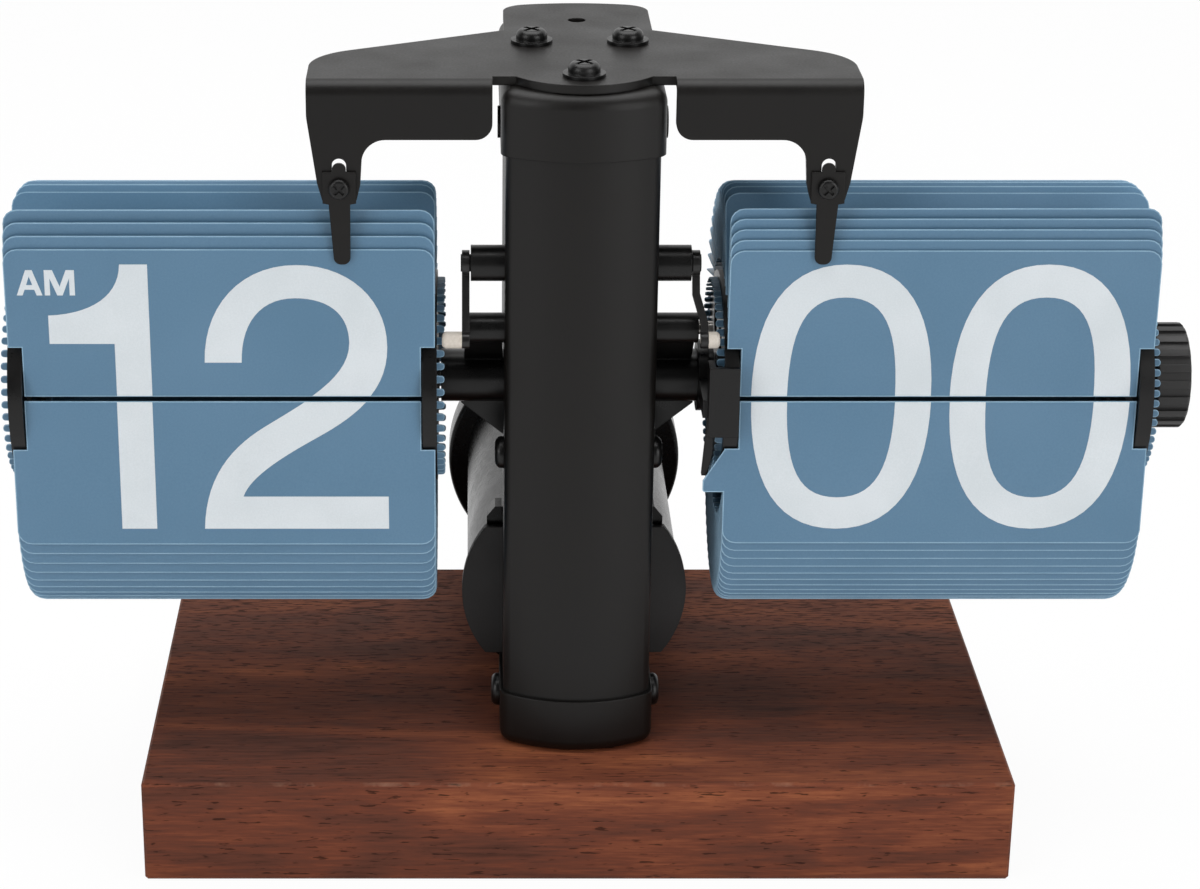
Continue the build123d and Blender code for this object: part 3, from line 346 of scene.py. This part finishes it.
def cutSheet(points, rounded, radius, thick, highlightRim):  # flat outline in X and Z to a plate with a pale rim
    shape = bmesh.new()
    ring = [shape.verts.new((x * mm, thick / 2 * mm, z * mm)) for x, z in points]
    shape.faces.new(ring)
    bmesh.ops.bevel(shape, geom=[ring[k] for k in rounded], affect="VERTICES", offset=radius * mm,
                    segments=4, profile=0.5, material=-1)
    grown = bmesh.ops.extrude_face_region(shape, geom=shape.faces[:])["geom"]
    bmesh.ops.translate(shape, verts=grownVerts(grown), vec=(0, -thick * mm, 0))
    bmesh.ops.recalc_face_normals(shape, faces=shape.faces[:])
    flat = [face for face in shape.faces if abs(face.normal.y) > 0.5]
    for face in shape.faces:
        face.material_index = 1
    # painted highlight: a thin rim of each face, and the cut edge, take the paler edge material
    bmesh.ops.inset_region(shape, faces=flat, thickness=highlightRim * mm, use_even_offset=True)
    for face in flat:
        face.material_index = 0
    return shape


def makeFlap(side, pitch, withTab):
    d = drumPlan
    a, b, n = d["innerX"], d["outerX"], d["notchHalf"]
    tail = flapTail(pitch)
    points = [(a + d["notchDepth"], -tail), (b - d["notchDepth"], -tail), (b - d["notchDepth"], n), (b, n)]
    points += [(b, d["flapH"]), (a, d["flapH"])]
    if withTab:
        x, end = d["tabX"], n + d["tabEnd"]
        points += [(a, end), (x + d["tabNose"], end), (x, end - d["tabNose"]), (x, end - d["tabTip"])]
        points += [(a, n + d["tabRoot"])]
    points += [(a, n), (a + d["notchDepth"], n)]
    return cutSheet([(side * x, z) for x, z in points], (4, 5), d["corner"], d["flapT"], d["highlightRim"])


def makeEar(fromX, toX):
    e = earPlan
    points = [(fromX, -e["root"]), (toX, -e["tip"]), (toX, e["tip"]), (fromX, e["root"])]
    return cutSheet(points, (1, 2), e["round"], e["thick"], e["highlightRim"])


def leanAt(angle):
    before = drumPlan["leans"][0]
    for entry in drumPlan["leans"][1:]:
        if angle <= entry[0]:
            return before[1] + (angle - before[0]) / (entry[0] - before[0]) * (entry[1] - before[1])
        before = entry
    return before[1]


def flapPlace(angle, lean, play=0.0):
    d = drumPlan
    a = math.radians(angle)
    r = d["hingeR"] + play
    spot = Vector((0, d["axisY"] - r * math.cos(a), d["axisZ"] + r * math.sin(a))) * mm
    return Matrix.Translation(spot) @ Matrix.Rotation(math.radians(-lean), 4, "X")


def gather(whole, single, places):
    scratch = bpy.data.meshes.new("scratch")
    single.to_mesh(scratch)
    for place in places:
        before = len(whole.verts)
        whole.from_mesh(scratch)
        whole.verts.ensure_lookup_table()
        bmesh.ops.transform(whole, matrix=place, verts=whole.verts[before:])
    bpy.data.meshes.remove(scratch)
    single.free()
    return whole


def makeDisplay(name, side, count, upright, withTab):
    pitch = 360.0 / count
    first = drumPlan["splitAngle"] + pitch / 2
    sheet = [flapBlue, flapEdgeHighlight]
    groups = {"standing": [], "fan": [], "hanging": []}
    ears = []
    for k in range(count - 1):
        angle = first + k * pitch
        group = "standing" if k < upright else "fan" if angle < 180 else "hanging"
        lean = 0.0 if k < upright else leanAt(angle)
        groups[group].append(flapPlace(angle, lean, drumPlan["secondPlay"] if k == count - 2 else 0.0))
        ears.append(flapPlace(angle, lean))
    for group, places in groups.items():
        stack = gather(bmesh.new(), makeFlap(side, pitch, False), places)
        stackName = name + "Flaps" + group.capitalize()
        finishPiece(stackName, stack, sheet, "stand", [name + "_flaps_" + group])
    tilt = 180.0 + drumPlan["fallenTilt"]
    fallen = flapPlace(first - pitch, tilt, drumPlan["fallenPlay"])
    ears.append(flapPlace(first - pitch, tilt))
    front = gather(bmesh.new(), makeFlap(side, pitch, withTab), [fallen])
    finishPiece(name + "FlapFallen", front, sheet, name + "_flap", [name + "_flap_fallen"])
    e = earPlan
    comb = bmesh.new()
    for edgeX, outward in ((e["innerX"], -1), (e["outerX"], 1)):
        ear = makeEar(side * (edgeX - outward * e["sunk"]), side * (edgeX + outward * e["out"]))
        comb = gather(comb, ear, ears)
    finishPiece(name + "FlapEars", comb, sheet, name + "_drum", [name + "_flap_pins"])
    return {"front": groups["standing"][0], "next": groups["hanging"][-1], "fallen": fallen,
            "tail": flapTail(pitch)}


hourPlaces = makeDisplay("hour", -1, 48, 4, False)
minutePlaces = makeDisplay("minute", 1, 60, 5, True)
print("flaps made")

# Numerals: outlines in mm from the left foot of each figure, 48 high; a point is (x, z) or, on a curve,
# (x, z, handle before, handle after)
figures = {
    "0": [[(15.4, 48.0, (5.3, 48.0), (25.5, 48.0)), (30.8, 24.0, (30.8, 39.7), (30.8, 8.3)),
           (15.4, 0.0, (25.5, 0.0), (5.3, 0.0)), (0.0, 24.0, (0.0, 8.3), (0.0, 39.7))],
          [(15.4, 42.15, (8.8, 42.15), (22.0, 42.15)), (24.65, 24.0, (24.65, 36.9), (24.65, 11.1)),
           (15.4, 5.85, (22.0, 5.85), (8.8, 5.85)), (6.15, 24.0, (6.15, 11.1), (6.15, 36.9))]],
    "1": [[(12.4, 48.0, (12.2, 42.6), (13.9, 48.0)), (17.1, 48.0), (17.1, 0.0), (11.05, 0.0),
           (11.05, 33.8), (0.0, 33.8), (0.0, 38.9, (0.0, 37.2), (7.6, 39.2))]],
    "2": [[(0.85, 30.4, (2.9, 30.4), (0.9, 40.6)), (16.8, 47.9, (7.4, 47.9), (25.6, 47.9)),
           (32.0, 33.2, (32.0, 41.9), (32.0, 25.0)), (19.4, 16.65, (26.2, 20.6), (12.6, 12.7)),
           (6.85, 6.0, (8.0, 9.3), (10.0, 6.0)), (32.0, 6.0), (32.0, 0.0), (0.0, 0.0, (2.0, 0.0), (0.4, 9.4)),
           (11.05, 19.0, (4.7, 15.0), (17.6, 23.2)), (25.55, 34.0, (25.55, 27.6), (25.55, 39.4)),
           (16.5, 42.0, (21.9, 42.0), (10.6, 42.0)), (7.15, 30.4, (7.2, 37.6), (5.0, 30.4))]],
    "5": [[(5.2, 47.2), (29.4, 47.2), (29.4, 41.2), (10.3, 41.2), (8.6, 28.6, (8.9, 31.0), (10.9, 30.6)),
           (16.4, 31.2, (13.2, 31.2), (25.6, 31.2)), (31.4, 15.9, (31.4, 24.9), (31.4, 6.6)),
           (15.6, -0.6, (25.0, -0.6), (6.6, -0.6)), (0.2, 11.6, (1.0, 3.6), (2.4, 11.6)),
           (6.6, 11.6, (5.0, 11.6), (7.3, 7.6)), (15.4, 5.4, (10.6, 5.4), (21.0, 5.4)),
           (24.9, 15.6, (24.9, 9.4), (24.9, 21.6)), (15.6, 25.4, (21.2, 25.4), (12.0, 25.4)),
           (7.4, 21.2, (9.4, 23.8), (5.6, 21.2)), (1.8, 21.5, (3.4, 21.4), (2.2, 24.4))]],
    "9": [[(15.0, 48.0, (6.2, 48.0), (26.0, 48.0)), (31.4, 26.0, (31.4, 40.2), (31.4, 8.8)),
           (14.4, -0.6, (24.6, -0.6), (6.8, -0.6)), (1.0, 11.0, (1.6, 3.8), (3.4, 11.0)),
           (7.2, 11.0, (5.4, 11.0), (7.8, 7.4)), (14.6, 5.2, (10.2, 5.2), (21.4, 5.2)),
           (25.4, 21.6, (24.8, 12.0), (22.8, 18.0)), (15.0, 16.4, (19.6, 16.4), (6.0, 16.4)),
           (0.0, 32.0, (0.0, 23.0), (0.0, 41.4))],
          [(15.2, 42.2, (10.0, 42.2), (20.6, 42.2)), (24.6, 32.2, (24.6, 38.2), (24.6, 26.4)),
           (15.2, 22.2, (20.4, 22.2), (10.2, 22.2)), (6.4, 32.2, (6.4, 26.4), (6.4, 38.2))]],
    "A": [[(0.0, 0.0), (0.98, 0.0), (1.36, 1.02), (3.0, 1.02), (3.36, 0.0), (4.35, 0.0),
           (2.74, 4.5), (1.62, 4.5)],
          [(1.66, 1.84), (2.18, 3.38), (2.71, 1.84)]],
    "M": [[(0.0, 0.0), (0.0, 4.5), (1.4, 4.5), (2.55, 1.57), (3.7, 4.5), (5.1, 4.5), (5.1, 0.0),
           (4.2, 0.0), (4.2, 3.03), (3.0, 0.0), (2.1, 0.0), (0.9, 3.03), (0.9, 0.0)]],
    "P": [[(0.0, 0.0), (0.0, 4.5), (2.1, 4.5, (1.0, 4.5), (3.1, 4.5)), (3.5, 3.03, (3.5, 3.87), (3.5, 2.2)),
           (2.1, 1.57, (3.1, 1.57), (1.5, 1.57)), (0.95, 1.57), (0.95, 0.0)],
          [(0.95, 3.68), (1.95, 3.68, (1.5, 3.68), (2.35, 3.68)), (2.5, 3.03, (2.5, 3.45), (2.5, 2.62)),
           (1.95, 2.39, (2.35, 2.39), (1.5, 2.39)), (0.95, 2.39)]],
}
# where each figure's left foot stands on a display, from the display's left edge and the split line;
# the ink stops just short of the cut edge, and is thinner on the faces that lie against other flaps
printPlan = {
    "hour": (("12", (7.2, 32.6)), ("11", (7.2, 34.0))), "minute": (("00", (4.3, 38.3)), ("59", (4.3, 38.0))),
    "foot": -23.85, "noteX": (2.1, 6.85), "noteZ": 18.65, "margin": 0.12, "lift": 0.02, "backLift": 0.005,
    "curveSteps": 14, "weld": 0.01,
}


def figureShape(key, x, z):
    curve = bpy.data.curves.new("figure", "CURVE")
    curve.dimensions = "2D"
    curve.fill_mode = "BOTH"
    curve.resolution_u = printPlan["curveSteps"]
    for points in figures[key]:
        spline = curve.splines.new("BEZIER")
        spline.bezier_points.add(len(points) - 1)
        spline.use_cyclic_u = True
        for spot, point in zip(spline.bezier_points, points):
            spot.handle_left_type = spot.handle_right_type = "FREE" if len(point) > 2 else "VECTOR"
            spot.co = (point[0], point[1], 0)
            spot.handle_left = (*point[2], 0) if len(point) > 2 else spot.co
            spot.handle_right = (*point[3], 0) if len(point) > 2 else spot.co
    holder = bpy.data.objects.new("figure", curve)
    mesh = bpy.data.meshes.new_from_object(holder)
    shape = bmesh.new()
    shape.from_mesh(mesh)
    bpy.data.objects.remove(holder)
    bpy.data.curves.remove(curve)
    bpy.data.meshes.remove(mesh)
    bmesh.ops.remove_doubles(shape, verts=shape.verts[:], dist=printPlan["weld"])
    bmesh.ops.translate(shape, verts=shape.verts[:], vec=(x, z, 0))
    return shape


# sign 1 prints the upper half of a display on a flap's front, -1 the lower half on a flap's back
def printHalf(name, marks, sign, leftX, place, tail, body, lift):
    whole = bmesh.new()
    for key, x, z in marks:
        whole = gather(whole, figureShape(key, x, z), [Matrix()])
    cut = drumPlan["splitGap"] / 2 + printPlan["margin"]
    bmesh.ops.bisect_plane(whole, geom=whole.verts[:] + whole.edges[:] + whole.faces[:],
                           plane_co=(0, sign * cut, 0), plane_no=(0, -sign, 0), clear_outer=True)
    grown = bmesh.ops.extrude_face_region(whole, geom=whole.faces[:])["geom"]
    bmesh.ops.translate(whole, verts=grownVerts(grown), vec=(0, 0, lift))
    hingeDrop = drumPlan["splitGap"] / 2 + tail  # from the split line to the hinge line
    face = drumPlan["flapT"] / 2
    local = Matrix(((1, 0, 0, leftX), (0, 0, -sign, -sign * face), (0, sign, 0, -hingeDrop), (0, 0, 0, 1)))
    bmesh.ops.transform(whole, matrix=place @ Matrix.Scale(mm, 4) @ local, verts=whole.verts[:])
    bmesh.ops.recalc_face_normals(whole, faces=whole.faces[:])
    finishPiece(name, whole, [printInk], body)


def marksFor(text, feet, note):
    marks = [(key, x, printPlan["foot"]) for key, x in zip(text, feet)]
    return marks + [(key, x, printPlan["noteZ"]) for key, x in zip(note, printPlan["noteX"])]


def printDisplay(name, leftX, places, notes):
    (now, nowFeet), (last, lastFeet) = printPlan[name]
    nowMarks = marksFor(now, nowFeet, notes[0])
    lastMarks = marksFor(last, lastFeet, notes[1])
    lift, backLift = printPlan["lift"], printPlan["backLift"]
    halves = {
        "Upper": (nowMarks, 1, "front", "stand", lift),
        "Lower": (nowMarks, -1, "fallen", name + "_flap", lift),
        "Back": (lastMarks, 1, "fallen", name + "_flap", backLift),
        "Next": (lastMarks, -1, "next", "stand", backLift),
    }
    for half, (marks, sign, flap, body, film) in halves.items():
        printHalf(name + "Print" + half, marks, sign, leftX, places[flap], places["tail"], body, film)


printDisplay("hour", -drumPlan["outerX"], hourPlaces, ("AM", "PM"))
printDisplay("minute", drumPlan["innerX"], minutePlaces, ("", ""))
print("numerals made")

# Floor, light and camera
stageSetup = {"floorSize": 6.0, "riseAt": 1.3, "riseHigh": 2.2, "riseCurve": 0.4, "floor": "#f4f4f4",
              "worldStrength": 0.12, "whiteShare": 0.95}
floorShape = bmesh.new()
bmesh.ops.create_grid(floorShape, x_segments=1, y_segments=1, size=stageSetup["floorSize"] / 2)
rear = [vert for vert in floorShape.verts if vert.co.y > 0]
bmesh.ops.translate(floorShape, verts=rear, vec=(0, stageSetup["riseAt"] - stageSetup["floorSize"] / 2, 0))
fold = [edge for edge in floorShape.edges if all(vert in rear for vert in edge.verts)]
grown = bmesh.ops.extrude_edge_only(floorShape, edges=fold)["geom"]
bmesh.ops.translate(floorShape, verts=grownVerts(grown), vec=(0, 0, stageSetup["riseHigh"]))
bmesh.ops.bevel(floorShape, geom=fold, affect="EDGES", offset=stageSetup["riseCurve"], segments=12,
                profile=0.5, material=-1)
floorMesh = bpy.data.meshes.new("floor")
floorShape.to_mesh(floorMesh)
floorShape.free()
floor = bpy.data.objects.new("floor", floorMesh)
bpy.context.scene.collection.objects.link(floor)


def makeFloorPaper(p):  # seamless paper roll, white to the camera and in reflections, keeping a soft shadow
    material, tree = startMaterial("paperRollWhite")[:2]
    path = addNode(tree, "LightPath").outputs
    seen = addNode(tree, "Math", {0: path["Is Camera Ray"], 1: path["Is Glossy Ray"]}, operation="MAXIMUM")
    seen = addNode(tree, "Math", {0: seen.outputs[0], 1: path["Is Transmission Ray"]}, operation="MAXIMUM")
    paper = addNode(tree, "BsdfDiffuse", {"Color": linearColour(p["floor"])})
    glow = addNode(tree, "Emission", {"Color": (1, 1, 1, 1), "Strength": 1.0})
    share = addNode(tree, "Math", {0: seen.outputs[0], 1: p["whiteShare"]}, operation="MULTIPLY")
    mixed = addNode(tree, "MixShader", {0: share.outputs[0], 1: paper.outputs[0], 2: glow.outputs[0]})
    addNode(tree, "OutputMaterial", {"Surface": mixed.outputs[0]})
    return material


floorMesh.materials.append(makeFloorPaper(stageSetup))

world = bpy.data.worlds.new("studio")
bpy.context.scene.world = world
world.use_nodes = True
sky = world.node_tree
sky.nodes.clear()
path = addNode(sky, "LightPath").outputs
seen = addNode(sky, "Math", {0: path["Is Camera Ray"], 1: path["Is Transmission Ray"]}, operation="MAXIMUM")
soft = addNode(sky, "Background", {"Color": (1, 1, 1, 1), "Strength": stageSetup["worldStrength"]})
white = addNode(sky, "Background", {"Color": (1, 1, 1, 1), "Strength": 1.0})
mixed = addNode(sky, "MixShader", {0: seen.outputs[0], 1: soft.outputs[0], 2: white.outputs[0]})
addNode(sky, "OutputWorld", {"Surface": mixed.outputs[0]})

lamps = {
    "topSoftbox": {"at": (0.0, 0.05, 0.95), "aim": (0, 0, 0.08), "size": (1.1, 0.8), "watts": 10.2},
    "leftSoftbox": {"at": (-0.85, -0.75, 0.55), "aim": (0, 0, 0.07), "size": (0.6, 0.8), "watts": 4.7},
    "rightSoftbox": {"at": (0.72, -0.88, 0.36), "aim": (0, 0, 0.07), "size": (0.6, 0.8), "watts": 4.9},
}
for name, p in lamps.items():
    light = bpy.data.lights.new(name, "AREA")
    light.shape = "RECTANGLE"
    light.size, light.size_y = p["size"]
    light.energy = p["watts"]
    lamp = bpy.data.objects.new(name, light)
    lamp.location = p["at"]
    lamp.rotation_euler = (Vector(p["aim"]) - Vector(p["at"])).to_track_quat("-Z", "Y").to_euler()
    bpy.context.scene.collection.objects.link(lamp)

cameraSetup = {"at": (-0.01875, -0.5100, 0.2685), "downDeg": 21.78, "lens": 89.82, "sensor": 36.0,
               "shiftX": 0.1075, "nearest": 0.01}
camera = bpy.data.cameras.new("camera")
camera.lens = cameraSetup["lens"]
camera.sensor_width = cameraSetup["sensor"]
camera.shift_x = cameraSetup["shiftX"]
camera.clip_start = cameraSetup["nearest"]
eye = bpy.data.objects.new("camera", camera)
eye.location = cameraSetup["at"]
eye.rotation_euler = (math.radians(90 - cameraSetup["downDeg"]), 0, 0)
bpy.context.scene.collection.objects.link(eye)
bpy.context.scene.camera = eye
bpy.context.scene.view_settings.view_transform = "Standard"

print("scene ready")
